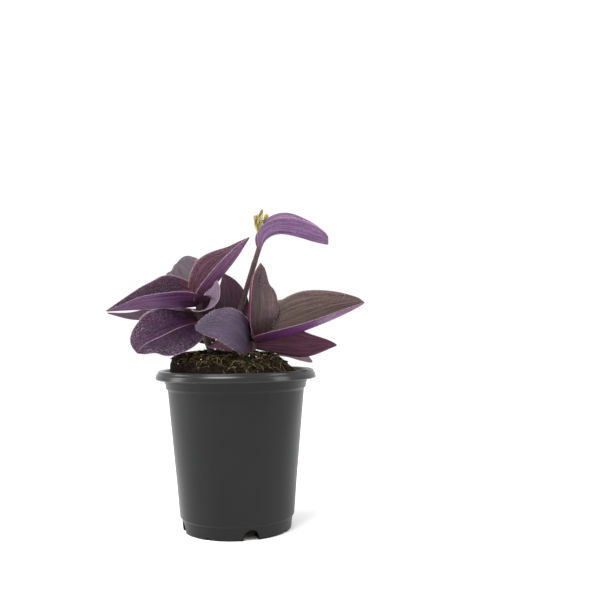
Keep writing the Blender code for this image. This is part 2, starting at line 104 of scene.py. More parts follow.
# Each leaf: its keel's route from base to tip, the way its upper side faces at the base and at the tip,
# its two half widths (left, right), how far each half folds up from flat (the same pair again for the tip
# where that differs), how much further it curls towards its margin, where along it is widest, and how
# blunt its tip is (under 1 is blunt).
LEAVES = {
    "long_right_leaf": dict(
        route=[(17, -1.6, 136), (37, -8, 140), (61, -12, 148), (82, -14, 157), (95, -14, 164)],
        face=[(-0.1, -0.5, 0.8), (-0.2, -0.6, 0.8)], half_width=(28, 22), fold=(48, 45), curl=(10, 8),
        widest=0.45, tip=0.62),
    "upright_leaf": dict(
        route=[(13, -3.4, 140), (10, -9, 151), (10, -11, 165), (12, -8, 182), (19, -3, 195)],
        face=[(0.62, -0.78, 0.1), (0.75, -0.65, -0.1)], half_width=(14, 22), fold=(46, 40, 48, 22),
        curl=(5, 5),
        widest=0.42, tip=0.55, base=0.8),
    "lower_right_leaf": dict(
        route=[(15, 1.2, 131), (34, 0, 127), (53, -2, 125), (75, -6, 133)],
        face=[(0, 0.75, 0.65), (0, 0.75, 0.65)], half_width=(12, 21), fold=(45, 45), curl=(5, 5),
        widest=0.48, tip=0.8),
    "front_leaf": dict(
        route=[(10, -4.2, 131.8), (2, -24, 142), (-10, -36, 147), (-28, -44, 147)],
        face=[(-0.2, -0.85, 0.45), (-0.2, -0.95, 0.3)], half_width=(14, 16), fold=(20, 15), curl=(-30, -20),
        widest=0.5, tip=0.75),
    "lower_left_leaf": dict(
        route=[(-28, -1.8, 151), (-40, -18, 147), (-52, -30, 141), (-62, -38, 136), (-67, -42, 130)],
        face=[(-0.2, -0.85, 0.45), (-0.3, -0.9, 0.3)], half_width=(22, 21), fold=(12, 12), curl=(-15, 10),
        widest=0.55, tip=0.6),
    "left_leaf": dict(
        route=[(-30, 1, 163), (-52, -4, 161), (-69, -6, 161), (-94, -8, 160)],
        face=[(0, -0.37, 0.93), (0, -0.37, 0.93)], half_width=(23, 26), fold=(50, 50), curl=(5, 5),
        widest=0.3, tip=1.05),
    "lower_back_left_leaf": dict(
        route=[(-29, 4.2, 156), (-53, 10, 155), (-75, 8, 154), (-95, 4, 159)],
        face=[(0, 0.1, 1), (0, 0.1, 1)], half_width=(14, 14), fold=(28, 28), curl=(5, 5),
        widest=0.4, tip=1),
    "upper_back_leaf": dict(
        route=[(-28, 5.4, 167), (-32, 16, 182), (-39, 24, 194), (-45, 28, 198)],
        face=[(0, -0.8, 0.5), (-0.2, -0.8, 0.5)], half_width=(22, 15), fold=(20, 20), curl=(5, 5),
        widest=0.5, tip=0.55),
    "upper_left_leaf": dict(
        route=[(-24, 1, 167), (-12, -5, 182), (0, -6, 197), (7, -1, 208), (11, 3, 215)],
        face=[(-0.75, -0.45, 0.56), (-0.75, -0.45, 0.56)], half_width=(22, 17), fold=(50, 50), curl=(5, 5),
        widest=0.32, tip=1),
    "dark_back_leaf": dict(
        route=[(-2, 7.4, 147), (-3, 16, 164), (-5, 20, 178), (-9, 22, 189)],
        face=[(0, -1, 0.2), (0, -1, 0.2)], half_width=(14, 14), fold=(20, 20), curl=(5, 5),
        widest=0.4, tip=0.85),
    "curled_leaf": dict(
        route=[(-28, -1.8, 159), (-22, -20, 159.2), (-14, -27, 164), (-12, -28, 172), (-13, -25, 181)],
        face=[(0, -0.3, 1), (-0.7, -0.6, 0.2)], half_width=(17, 8), fold=(6, 30), curl=(5, 5),
        widest=0.5, tip=0.85),
    "far_right_leaf": dict(
        route=[(15, 3.2, 139), (26, 16, 155), (36, 20, 165), (42, 22, 169)],
        face=[(0, -0.5, 0.8), (0, -0.5, 0.8)], half_width=(10, 10), fold=(30, 30), curl=(5, 5),
        widest=0.4, tip=1),
    "small_leaf": dict(
        route=[(33, 17, 127), (47, 24, 125), (60, 29, 119)],
        face=[(0, -0.9, 0.4), (0, -0.9, 0.4)], half_width=(5, 4), fold=(10, 10), curl=(5, 5),
        widest=0.5, tip=0.7),
    "young_leaf": dict(
        route=[(-17.4, -3.4, 134), (-12, -14, 134), (-2, -22, 130)],
        face=[(0, -0.8, 0.6), (0, -0.8, 0.6)], half_width=(6, 6), fold=(20, 20), curl=(5, 5),
        widest=0.4, tip=0.8),
    "flower_leaf": dict(
        route=[(22.4, 5, 212), (28, 2, 216), (36, 0, 217), (47, -2, 214.5), (59, -5, 210.5), (69.5, -6, 208)],
        face=[(-0.5, -0.4, 0.8), (0.3, -0.1, 0.95)], half_width=(16, 16), fold=(60, 60), curl=(5, 5),
        widest=0.45, tip=0.34, base=1.1, funnel=(19, 5.2, 205), clasp=0.16),
    "inner_left_leaf": dict(
        route=[(-22, 3.4, 137), (-23, 12, 146), (-22, 19, 160), (-22, 24, 177)],
        face=[(0, -1, 0.3), (0, -1, 0.3)], half_width=(9, 12), fold=(15, 15), curl=(5, 5),
        widest=0.55, tip=0.5),
    "back_left_leaf": dict(
        route=[(0.8, 24, 138), (-20, 36, 145), (-42, 50, 140)],
        face=[(-0.1, -0.3, 1), (-0.3, 0.5, 0.8)], half_width=(14, 14), fold=(35, 35), curl=(5, 5),
        widest=0.4, tip=0.9),
    "back_leaf": dict(
        route=[(4.5, 28.1, 148), (0, 42, 157), (-6, 56, 153)],
        face=[(0, -0.5, 0.8), (0, 0.3, 1)], half_width=(14, 14), fold=(35, 35), curl=(5, 5),
        widest=0.4, tip=0.9),
    "back_right_leaf": dict(
        route=[(7.6, 25.4, 142), (28, 38, 150), (46, 48, 145)],
        face=[(0, -0.3, 1), (0.3, 0.3, 1)], half_width=(14, 14), fold=(35, 35), curl=(5, 5),
        widest=0.4, tip=0.9),
    "trailing_leaf": dict(
        route=[(4, 26, 134), (10, 42, 136), (14, 56, 127)],
        face=[(0, 0, 1), (0, 0.7, 0.7)], half_width=(12, 12), fold=(30, 30), curl=(5, 5),
        widest=0.4, tip=0.9),
}

# Each leaf's colours: upper side, under side, and how pale its margin is.
TAUPE = (0.060, 0.040, 0.045)
WINE = (0.050, 0.018, 0.028)
PLUM = (0.034, 0.013, 0.028)
MAUVE = (0.080, 0.064, 0.088)
COLOURS = {
    "long_right_leaf": ((0.070, 0.056, 0.044), (0.076, 0.018, 0.092), 0.5),
    "upright_leaf": ((0.062, 0.046, 0.048), (0.120, 0.007, 0.048), 0.4),
    "lower_right_leaf": ((0.066, 0.029, 0.052), (0.072, 0.028, 0.048), 0.15),
    "front_leaf": ((0.046, 0.038, 0.062), (0.026, 0.012, 0.022), 0.5),
    "lower_left_leaf": ((0.023, 0.008, 0.026), (0.026, 0.010, 0.024), 0.75),
    "left_leaf": ((0.020, 0.005, 0.017), (0.070, 0.026, 0.086), 0.5),
    "lower_back_left_leaf": (PLUM, (0.062, 0.034, 0.058), 0.4),
    "upper_back_leaf": ((0.068, 0.059, 0.068), MAUVE, 0.3),
    "upper_left_leaf": ((0.056, 0.025, 0.038), (0.094, 0.046, 0.096), 0.55),
    "dark_back_leaf": ((0.040, 0.020, 0.032), PLUM, 0.15),
    "curled_leaf": ((0.096, 0.078, 0.108), (0.078, 0.034, 0.082), 0.6),
    "far_right_leaf": (WINE, (0.080, 0.024, 0.036), 0.2),
    "small_leaf": ((0.110, 0.088, 0.094), MAUVE, 0.2),
    "young_leaf": ((0.100, 0.045, 0.062), (0.090, 0.040, 0.056), 0.4),
    "flower_leaf": ((0.155, 0.102, 0.185), (0.158, 0.106, 0.208), 0.3),
    "inner_left_leaf": ((0.030, 0.022, 0.026), PLUM, 0.1),
    "back_left_leaf": (PLUM, (0.070, 0.035, 0.060), 0.2),
    "back_leaf": (TAUPE, (0.110, 0.045, 0.110), 0.4),
    "back_right_leaf": (TAUPE, (0.120, 0.045, 0.120), 0.4),
    "trailing_leaf": (WINE, (0.110, 0.045, 0.100), 0.4),
}
PALE_MARGIN = (0.36, 0.25, 0.30)
# Pale frost of the fine hairs, which also serves as the leaves' painted sheen.
FROST_AND_SHEEN = (0.42, 0.32, 0.42)
SHEATH_RED = (0.085, 0.022, 0.022)
LEAF_SHINE = 0.13
LINE_LIGHT = (2.0, 1.8, 1.7)
LINE_DARK = (0.48, 0.4, 0.42)
WARM_PATCH = (0.98, 0.84, 0.95)
DULL_PATCH = (0.6, 0.52, 0.55)
# Painted shade multiplied over a leaf's left half, as if that half faced away from the light.
LEE_SHADE = (0.6, 0.45, 0.62)

# How pale the line along a leaf's midrib is, and how far painted shade darkens its left half, where that
# differs.
MIDRIBS = {"lower_left_leaf": 0.6, "curled_leaf": 0.5, "flower_leaf": 0.25}
SHADED_LEFT_HALVES = {"lower_left_leaf": 0.9}

# Each spent flower: the way it leans round the stem, how far it leans, and its length.
BUDS = [(35, 8, 23), (110, 9, 26), (185, 10, 21), (245, 9, 24)]
BUD_RING = 1.3 * MM
SEPAL_LEAN = Vector((0.35, 0, 0))
SEPALS = 14
FIRST_BUD_SEED = 40


# ---------------------------------------------------------------- materials
class Finish:
    """A Principled material whose inputs are fed by small helper methods."""

    def __init__(self, name):
        self.material = bpy.data.materials.new(name)
        self.material.use_nodes = True
        self.tree = self.material.node_tree
        self.shader = self.tree.nodes["Principled BSDF"]

    def node(self, kind, inputs=(), **settings):
        made = self.tree.nodes.new(kind)
        for key, value in settings.items():
            setattr(made, key, value)
        for key, value in dict(inputs).items():
            if isinstance(value, bpy.types.NodeSocket):
                self.tree.links.new(value, made.inputs[key])
            else:
                made.inputs[key].default_value = value
        return made

    def set(self, **inputs):
        for key, value in inputs.items():
            socket = self.shader.inputs[key.replace("_", " ")]
            if isinstance(value, bpy.types.NodeSocket):
                self.tree.links.new(value, socket)
            else:
                socket.default_value = value

    def math(self, operation, a, b=0.0):
        return self.node("ShaderNodeMath", {0: a, 1: b}, operation=operation).outputs[0]

    def attribute(self, name):
        return self.node("ShaderNodeAttribute", attribute_name=name).outputs["Fac"]

    def position(self):
        return self.node("ShaderNodeTexCoord").outputs["Object"]

    def noise(self, vector, scale, detail=3.0, roughness=0.55):
        made = self.node("ShaderNodeTexNoise", {"Vector": vector, "Scale": scale, "Detail": detail,
                                                "Roughness": roughness})
        return made.outputs["Fac"]

    def spread(self, value, low, high, to_low=0.0, to_high=1.0):
        made = self.node("ShaderNodeMapRange", {"Value": value, "From Min": low, "From Max": high,
                                                "To Min": to_low, "To Max": to_high})
        return made.outputs["Result"]

    def mix(self, share, a, b, blend="MIX"):
        made = self.node("ShaderNodeMix", data_type="RGBA", blend_type=blend)
        for index, value in ((0, share), (6, a), (7, b)):
            if isinstance(value, bpy.types.NodeSocket):
                self.tree.links.new(value, made.inputs[index])
            else:
                made.inputs[index].default_value = value if index == 0 else (*value[:3], 1)
        return made.outputs[2]

    def bump(self, height, distance, strength=1.0, under=None):
        inputs = {"Height": height, "Distance": distance, "Strength": strength}
        if under is not None:
            inputs["Normal"] = under
        return self.node("ShaderNodeBump", inputs).outputs["Normal"]


def tinted(colour, factor):
    return tuple(min(1, channel * factor) for channel in colour)


def leaf_finish(name, upper, lower, paleness, seed, midrib=0.0, left_half_shade=0.0):
    finish = Finish(name)
    along, across, under = (finish.attribute(key) for key in ("along", "across", "under"))
    position = finish.position()

    def lanes(count, turns, detail):
        place = finish.node("ShaderNodeCombineXYZ", {"X": finish.math("MULTIPLY", across, count),
                                                     "Y": finish.math("MULTIPLY", along, turns), "Z": seed})
        return finish.noise(place.outputs[0], 1.0, detail)

    streaks = lanes(16, 1.6, 3)
    fine = lanes(46, 3, 2)
    blotches = finish.noise(position, 70, 4)
    cells = finish.noise(position, 1900, 2)
    body = finish.mix(under, upper, lower)
    # Painted shade: the left half of the blade is darkened as if it faced away from the light.
    if left_half_shade:
        left = finish.spread(across, -0.05, 0.0, left_half_shade, 0)
        body = finish.mix(left, body, LEE_SHADE, "MULTIPLY")
    reddened = finish.mix(finish.spread(along, 0.02, 0.2, 0.5, 0), body, SHEATH_RED)
    streaked = finish.mix(finish.spread(streaks, 0.35, 0.7), reddened, LINE_LIGHT, "MULTIPLY")
    streaked = finish.mix(finish.spread(fine, 0.42, 0.6, 0, 0.8), streaked, LINE_DARK, "MULTIPLY")
    drift = finish.spread(finish.noise(position, 26, 2), 0.35, 0.65)
    streaked = finish.mix(drift, streaked, WARM_PATCH, "MULTIPLY")
    mottled = finish.mix(finish.spread(blotches, 0.3, 0.75, 0, 0.6), streaked, DULL_PATCH, "MULTIPLY")
    # Pale frost of the hairs, thickest near the margins and tip, mixed into the colour; it also paints the
    # leaf's sheen.
    frost_and_sheen_share = finish.spread(cells, 0.54, 0.68, 0, 0.12 + 0.5 * paleness)
    outward = finish.math("ABSOLUTE", across)
    near_margin = finish.spread(outward, 0.25, 1, 0.3, 1.1)
    near_tip = finish.spread(along, 0.5, 1, 0, 0.6)
    hairy = finish.math("ADD", near_margin, near_tip)
    patchy = finish.math("MULTIPLY", hairy, finish.spread(blotches, 0.35, 0.6, 0.4, 1))
    frost_and_sheen_mixed = finish.mix(finish.math("MULTIPLY", frost_and_sheen_share, patchy), mottled, FROST_AND_SHEEN)
    broken = finish.spread(cells, 0.35, 0.6, 0.3, 1)
    rim = finish.math("MULTIPLY", finish.spread(outward, 0.965, 1.0, 0, paleness), broken)
    edged = finish.mix(rim, frost_and_sheen_mixed, PALE_MARGIN)
    if midrib:
        line = finish.math("MULTIPLY", finish.spread(outward, 0.006, 0.03, midrib, 0), broken)
        edged = finish.mix(line, edged, PALE_MARGIN)
    veins = finish.bump(streaks, 0.5 * MM, 0.5)
    ribs = finish.bump(fine, 0.2 * MM, 0.5, veins)
    grain = finish.bump(cells, 0.15 * MM, 0.5, ribs)
    finish.set(Base_Color=edged, Roughness=finish.spread(blotches, 0.3, 0.7, 0.38, 0.58), Normal=grain,
               Specular_IOR_Level=LEAF_SHINE)
    return finish.material


def stem_finish():
    finish = Finish("stem_skin")
    along, across = finish.attribute("along"), finish.attribute("across")
    lanes = finish.node("ShaderNodeCombineXYZ", {"X": finish.math("MULTIPLY", across, 9),
                                                 "Y": finish.math("MULTIPLY", along, 3)})
    streaks = finish.noise(lanes.outputs[0], 1.0, 3)
    blotches = finish.noise(finish.position(), 160, 3)
    skin = finish.mix(finish.spread(streaks, 0.4, 0.62), (0.036, 0.024, 0.026), (0.120, 0.060, 0.075))
    skin = finish.mix(finish.spread(blotches, 0.45, 0.7, 0, 0.6), skin, (0.030, 0.032, 0.020))
    finish.set(Base_Color=skin, Roughness=finish.spread(blotches, 0.3, 0.7, 0.4, 0.6),
               Specular_IOR_Level=0.2, Normal=finish.bump(streaks, 0.4 * MM, 0.6))
    return finish.material


def plastic_finish(name, shine, roughness):
    finish = Finish(name)
    position = finish.position()
    haze = finish.noise(position, 18, 4)
    grain = finish.noise(position, 1800, 2)
    dust = finish.noise(position, 420, 5, 0.7)
    colour = finish.mix(finish.spread(haze, 0.3, 0.75), (0.0082, 0.0084, 0.0090), (0.0108, 0.0109, 0.0115))
    colour = finish.mix(finish.spread(dust, 0.66, 0.8, 0, 0.07), colour, (0.06, 0.057, 0.052))
    finish.set(Base_Color=colour, Roughness=finish.spread(haze, 0.3, 0.7, *roughness),
               Specular_IOR_Level=shine, Normal=finish.bump(grain, 0.04 * MM, 0.3))
    return finish.material


def mix_finish():
    finish = Finish("crumbly_mix")
    position = finish.position()
    crumbs = finish.noise(position, 420, 6, 0.65)
    patches = finish.noise(position, 55, 3)
    bits = finish.node("ShaderNodeTexVoronoi", {"Vector": position, "Scale": 900.0}).outputs["Distance"]
    colour = finish.mix(finish.spread(crumbs, 0.35, 0.7), (0.0025, 0.0018, 0.0012), (0.020, 0.012, 0.007))
    colour = finish.mix(finish.spread(patches, 0.52, 0.68, 0, 0.55), colour, (0.014, 0.014, 0.005))
    colour = finish.mix(finish.spread(crumbs, 0.68, 0.76, 0, 0.6), colour, (0.09, 0.06, 0.03))
    rough = finish.bump(crumbs, 2.2 * MM, 0.9)
    finish.set(Base_Color=colour, Roughness=0.95, Specular_IOR_Level=0.06,
               Normal=finish.bump(bits, 0.6 * MM, 0.6, rough))
    return finish.material


def speck_finish(name, dark, light, roughness):
    """For small loose bits: each bit's own shade comes from its "shade" attribute."""
    finish = Finish(name)
    grain = finish.noise(finish.position(), 1500, 3)
    colour = finish.mix(finish.attribute("shade"), dark, light)
    colour = finish.mix(finish.spread(grain, 0.3, 0.7, 0, 0.5), colour, tinted(dark, 0.5))
    finish.set(Base_Color=colour, Roughness=roughness, Specular_IOR_Level=0.1,
               Normal=finish.bump(grain, 0.15 * MM, 0.6))
    return finish.material


# ---------------------------------------------------------------- shapes
def in_metres(route):
    return [Vector(point) * MM for point in route]


def smooth_route(points, steps):
    """steps + 1 points evenly spaced along a Catmull-Rom curve through these points."""
    ends = [2 * points[0] - points[1], *points, 2 * points[-1] - points[-2]]
    fine = []
    for a, b, c, d in zip(ends, ends[1:], ends[2:], ends[3:]):
        for i in range(16):
            t = i / 16
            fine.append(0.5 * ((2 * b) + (c - a) * t + (2 * a - 5 * b + 4 * c - d) * t * t
                               + (3 * b - a - 3 * c + d) * t ** 3))
    fine.append(points[-1].copy())
    lengths = [0.0]
    for a, b in zip(fine, fine[1:]):
        lengths.append(lengths[-1] + (b - a).length)
    even = []
    k = 0
    for i in range(steps + 1):
        at = lengths[-1] * i / steps
        while k < len(fine) - 2 and lengths[k + 1] < at:
            k += 1
        share = (at - lengths[k]) / (lengths[k + 1] - lengths[k])
        even.append(fine[k].lerp(fine[k + 1], min(max(share, 0), 1)))
    return even


def tangents(points):
    ahead = points[1:] + [2 * points[-1] - points[-2]]
    behind = [2 * points[0] - points[1]] + points[:-1]
    return [(b - a).normalized() for a, b in zip(behind, ahead)]


def blade_width(t, leaf):
    """Share of the half width at t, from 0 at the base to 1 at the tip."""
    clasp = leaf.get("clasp", CLASP) * (1 - t) ** 3
    bow = math.sin(math.pi * min(t, 1) ** (math.log(0.5) / math.log(leaf["widest"])))
    bluntness = leaf["tip"] if t > leaf["widest"] else leaf.get("base", leaf["tip"])
    return clasp + (1 - clasp) * max(bow, 0) ** bluntness


def half_section(width, fold, curl, share):
    """How far out and how far up a half blade has come at this share of its width."""
    start, turn = math.radians(fold), math.radians(curl)
    if abs(turn) < 1e-4:
        return width * share * math.cos(start), width * share * math.sin(start)
    out = (math.sin(start + turn * share) - math.sin(start)) / turn
    up = (math.cos(start) - math.cos(start + turn * share)) / turn
    return width * out, width * up


def leaf_surface(leaf, steps, half_steps, phase):
    """Rows of points across the leaf's middle surface, from base to tip and from left margin to right.
    The base reaches SHEATH further back than the CAD's, round its stem."""
    points = in_metres(leaf["route"])
    if "funnel" in leaf:
        points.insert(0, Vector(leaf["funnel"]) * MM)
    else:
        points[0] -= (points[1] - points[0]).normalized() * SHEATH
    centres = smooth_route(points, steps)
    along = tangents(centres)
    faces = [Vector(direction).normalized() for direction in leaf["face"]]
    folds = leaf["fold"]
    rows = []
    for i, (centre, direction) in enumerate(zip(centres, along)):
        t = i / steps
        face = faces[0].lerp(faces[1], t)
        face = (face - face.dot(direction) * direction).normalized()
        right = direction.cross(face)
        share = blade_width(t, leaf)
        ripple = 0.5 * MM * math.sin(9 * t + phase) * math.sin(math.pi * t)
        row = []
        for j in range(-half_steps, half_steps + 1):
            side = 1 if j > 0 else 0
            width = leaf["half_width"][side] * MM * share
            reach = abs(j) / half_steps
            fold = folds[side] + (folds[side - 2] - folds[side]) * t
            out, up = half_section(width, fold, leaf["curl"][side], reach)
            wave = ripple * reach * reach * (1 if side else -1)
            row.append(centre + right * math.copysign(out, j) + face * (up + wave))
        rows.append(row)
    return rows


def surface_normals(rows):
    normals = []
    last_row, last_column = len(rows) - 1, len(rows[0]) - 1
    for i in range(len(rows)):
        line = []
        for j in range(len(rows[0])):
            k = min(i, last_row - 1)
            lengthwise = rows[min(k + 1, last_row)][j] - rows[max(k - 1, 0)][j]
            across = rows[k][min(j + 1, last_column)] - rows[k][max(j - 1, 0)]
            line.append(across.cross(lengthwise).normalized())
        normals.append(line)
    return normals


def add_piece(name, bm, material, slot, *nodes):
    """A finished piece on the root body, which stands for the CAD nodes named."""
    bmesh.ops.recalc_face_normals(bm, faces=bm.faces)
    mesh = bpy.data.meshes.new(name)
    bm.to_mesh(mesh)
    bm.free()
    mesh.shade_smooth()
    mesh.materials.append(material)
    piece = bpy.data.objects.new(name, mesh)
    bpy.context.collection.objects.link(piece)
    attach(piece, "root")
    if nodes:
        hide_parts(*nodes)
    return piece


def turned(bm, profile, segments):
    """Spins a closed (radius, height) profile that doesn't touch the axis, or one whose ends lie on it."""
    rings = []
    for radius, height in profile:
        if radius < 1e-6:
            rings.append([bm.verts.new((0, 0, height))])
            continue
        ring = []
        for i in range(segments):
            angle = math.tau * i / segments
            ring.append(bm.verts.new((radius * math.cos(angle), radius * math.sin(angle), height)))
        rings.append(ring)
    pairs = list(zip(rings, rings[1:]))
    if len(rings[0]) > 1:
        pairs.append((rings[-1], rings[0]))
    for lower, upper in pairs:
        for i in range(segments):
            corners = [lower[i % len(lower)], lower[(i + 1) % len(lower)],
                       upper[(i + 1) % len(upper)], upper[i % len(upper)]]
            corners = list(dict.fromkeys(corners))
            if len(corners) > 2:
                bm.faces.new(corners)


def pot_profile():
    """The wall's section: up the outside, over the rim, down the inside, then across the raised base."""
    skirt = POT_HEIGHT - SKIRT_HEIGHT
    outside = [
        (BASE_RADIUS - 0.6 * MM, 0),
        (BASE_RADIUS, 0.6 * MM),
        (LEDGE_RADIUS - 1.3 * MM, LEDGE_HEIGHT - 0.8 * MM),
        (LEDGE_RADIUS, LEDGE_HEIGHT + 0.4 * MM),
        (SHOULDER_RADIUS, SHOULDER_HEIGHT),
        (SHOULDER_RADIUS + 0.2 * MM, SHOULDER_HEIGHT + 1.6 * MM),
        (SHOULDER_RADIUS + 1.5 * MM, SHOULDER_HEIGHT + 3.2 * MM),
        (SHOULDER_RADIUS + 1.8 * MM, SHOULDER_HEIGHT + 6.0 * MM),
        (SHOULDER_RADIUS + 3.4 * MM, SHOULDER_HEIGHT + 9.4 * MM),
    ]
    rim = [
        (RIM_RADIUS - 4.6 * MM, POT_HEIGHT - 2.6 * MM),
        (RIM_RADIUS - 2.4 * MM, POT_HEIGHT - 3.2 * MM),
        (RIM_RADIUS - 1.4 * MM, skirt),
        (RIM_RADIUS - 0.2 * MM, skirt),
        (RIM_RADIUS, skirt + 0.6 * MM),
        (RIM_RADIUS - 0.5 * MM, POT_HEIGHT - 3.0 * MM),
        (RIM_RADIUS - 1.4 * MM, POT_HEIGHT - 2.0 * MM),
        (RIM_RADIUS - 1.7 * MM, POT_HEIGHT - 0.8 * MM),
        (RIM_RADIUS - 2.6 * MM, POT_HEIGHT - 0.1 * MM),
        (RIM_RADIUS - 4.4 * MM, POT_HEIGHT),
        (RIM_RADIUS - 5.6 * MM, POT_HEIGHT - 0.6 * MM),
    ]
    inside = [
        (SHOULDER_RADIUS + 1.2 * MM, SHOULDER_HEIGHT + 7 * MM),
        (SHOULDER_RADIUS - WALL, SHOULDER_HEIGHT),
        (LEDGE_RADIUS - WALL, LEDGE_HEIGHT + 0.6 * MM),
        (LEDGE_RADIUS - WALL - 1.4 * MM, LEDGE_HEIGHT - 1.2 * MM),
        (BASE_RADIUS - WALL - 0.2 * MM, BASE_RISE + WALL),
        (0, BASE_RISE + WALL),
    ]
    under = [
        (0, BASE_RISE),
        (BASE_RADIUS - FOOT_WIDTH - 1.5 * MM, BASE_RISE),
        (BASE_RADIUS - FOOT_WIDTH, 0),
    ]
    return under + outside + rim + inside


def arch_cutter(name, width, height, angle):
    """A helper solid, a round-topped bar that lies across the foot at this angle from the front."""
    steps = 16
    radius = width / 2
    section = [(-radius, -2 * MM), (radius, -2 * MM)]
    for i in range(steps + 1):
        turn = math.pi * i / steps
        rise = max(height - radius, 0) + min(radius, height) * math.sin(turn)
        section.append((radius * math.cos(turn), rise))
    near, far = BASE_RADIUS - FOOT_WIDTH - 3 * MM, BASE_RADIUS + 4 * MM
    bm = bmesh.new()
    rings = [[bm.verts.new((x, -depth, z)) for x, z in section] for depth in (near, far)]
    for i in range(len(section)):
        j = (i + 1) % len(section)
        bm.faces.new([rings[0][i], rings[0][j], rings[1][j], rings[1][i]])
    for ring in rings:
        bm.faces.new(ring)
    bmesh.ops.recalc_face_normals(bm, faces=bm.faces)
    mesh = bpy.data.meshes.new(name)
    bm.to_mesh(mesh)
    bm.free()
    cutter = bpy.data.objects.new(name, mesh)
    bpy.context.collection.objects.link(cutter)
    cutter.rotation_euler.z = angle
    return cutter


def add_pot():
    """The pot, turned more finely than the CAD's, with softened edges and a glossier rim."""
    bm = bmesh.new()
    turned(bm, pot_profile(), POT_SEGMENTS)
    pot = add_piece("pot_shell", bm, plastic_finish("body_plastic", 0.14, (0.3, 0.4)), "pot_plastic", "pot")
    pot.data.materials.append(plastic_finish("rim_plastic", 0.34, (0.17, 0.27)))
    soften = pot.modifiers.new("soften", "BEVEL")
    soften.width = EDGE_ROUNDING
    soften.segments = 2
    soften.angle_limit = math.radians(20)
    cutters = []
    for i in range(NOTCHES):
        angle = FIRST_NOTCH + math.tau * i / NOTCHES
        cutters.append(arch_cutter(f"arch_{i}", ARCH_WIDTH, ARCH_HEIGHT, angle))
        cutters.append(arch_cutter(f"nick_{i}", NICK_WIDTH, NICK_HEIGHT, angle + math.pi / NOTCHES))
    for cutter in cutters:
        cut = pot.modifiers.new(cutter.name, "BOOLEAN")
        cut.operation = "DIFFERENCE"
        cut.object = cutter
    evaluated = pot.evaluated_get(bpy.context.evaluated_depsgraph_get())
    pot.data = bpy.data.meshes.new_from_object(evaluated)
    pot.modifiers.clear()
    for cutter in cutters:
        bpy.data.objects.remove(cutter)
    pot.data.shade_smooth()
    pot.data.set_sharp_from_angle(angle=SHARP_ANGLE)
    for face in pot.data.polygons:
        face.material_index = int(face.center.z > POT_HEIGHT - SKIRT_HEIGHT - 0.5 * MM)
    return pot


def add_leaf(name, leaf, number):
    """One leaf as a closed thin solid, with how far along and across it each point is kept as attributes."""
    rows = leaf_surface(leaf, LEAF_STEPS, HALF_BLADE_STEPS, number)[:-1]
    tip = in_metres(leaf["route"])[-1]
    normals = surface_normals(rows)
    columns = len(rows[0])
    bm = bmesh.new()
    layers = {key: bm.verts.layers.float.new(key) for key in ("along", "across", "under")}
    skins = []
    for under in (0, 1):
        skin = []
        for i, (row, line) in enumerate(zip(rows, normals)):
            verts = []
            for j, (point, normal) in enumerate(zip(row, line)):
                across = (j - HALF_BLADE_STEPS) / HALF_BLADE_STEPS
                thickness = LEAF_THICKNESS + (MARGIN_THICKNESS - LEAF_THICKNESS) * abs(across)
                vert = bm.verts.new(point + (1 - 2 * under) * normal * thickness / 2)
                vert[layers["along"]] = i / len(rows)
                vert[layers["across"]] = across
                vert[layers["under"]] = under
                verts.append(vert)
            skin.append(verts)
        skins.append(skin)
    point = bm.verts.new(tip)
    point[layers["along"]] = 1
    upper, lower = skins
    for skin in skins:
        for a, b in zip(skin, skin[1:]):
            for j in range(columns - 1):
                bm.faces.new([a[j], a[j + 1], b[j + 1], b[j]])
        for j in range(columns - 1):
            bm.faces.new([skin[-1][j], skin[-1][j + 1], point])
    for j in (0, columns - 1):
        for i in range(len(rows) - 1):
            bm.faces.new([upper[i][j], upper[i + 1][j], lower[i + 1][j], lower[i][j]])
        bm.faces.new([upper[-1][j], point, lower[-1][j]])
    for j in range(columns - 1):
        bm.faces.new([upper[0][j], upper[0][j + 1], lower[0][j + 1], lower[0][j]])
    colours = COLOURS[name]
    material = leaf_finish(f"{name}_skin", *colours, number * 3.7, MIDRIBS.get(name, 0),
                           SHADED_LEFT_HALVES.get(name, 0))
    return add_piece(name, bm, material, "leaf", name)


def add_stem(name, radius, route, material):
    """A fleshy stem: lightly ribbed, with a swollen joint every so often."""
    points = in_metres(route)
    steps = 14 * (len(route) - 1)
    centres = smooth_route(points, steps)
    along = tangents(centres)
    bm = bmesh.new()
    layers = {key: bm.verts.layers.float.new(key) for key in ("along", "across")}
    rings = []
    side = along[0].orthogonal().normalized()
    for i, (centre, direction) in enumerate(zip(centres, along)):
        side = (side - side.dot(direction) * direction).normalized()
        across = direction.cross(side)
        t = i / steps
        joint = math.exp(-((t * 3) % 1 - 0.5) ** 2 / 0.004)
        girth = radius * MM * (1.1 - 0.2 * t) * (1 + 0.12 * joint)
        ring = []
        for j in range(STEM_SIDES):
            angle = math.tau * j / STEM_SIDES
            rib = 1 + 0.025 * math.sin(7 * angle)
            vert = bm.verts.new(centre + girth * rib * (math.cos(angle) * side + math.sin(angle) * across))
            vert[layers["along"]] = t
            vert[layers["across"]] = abs(j / STEM_SIDES - 0.5) * 2
            ring.append(vert)
        rings.append(ring)
    for lower, upper in zip(rings, rings[1:]):
        for j in range(STEM_SIDES):
            k = (j + 1) % STEM_SIDES
            bm.faces.new([lower[j], lower[k], upper[k], upper[j]])
    bm.faces.new(rings[0])
    bm.faces.new(rings[-1])
    return add_piece(name, bm, material, "stem", name)


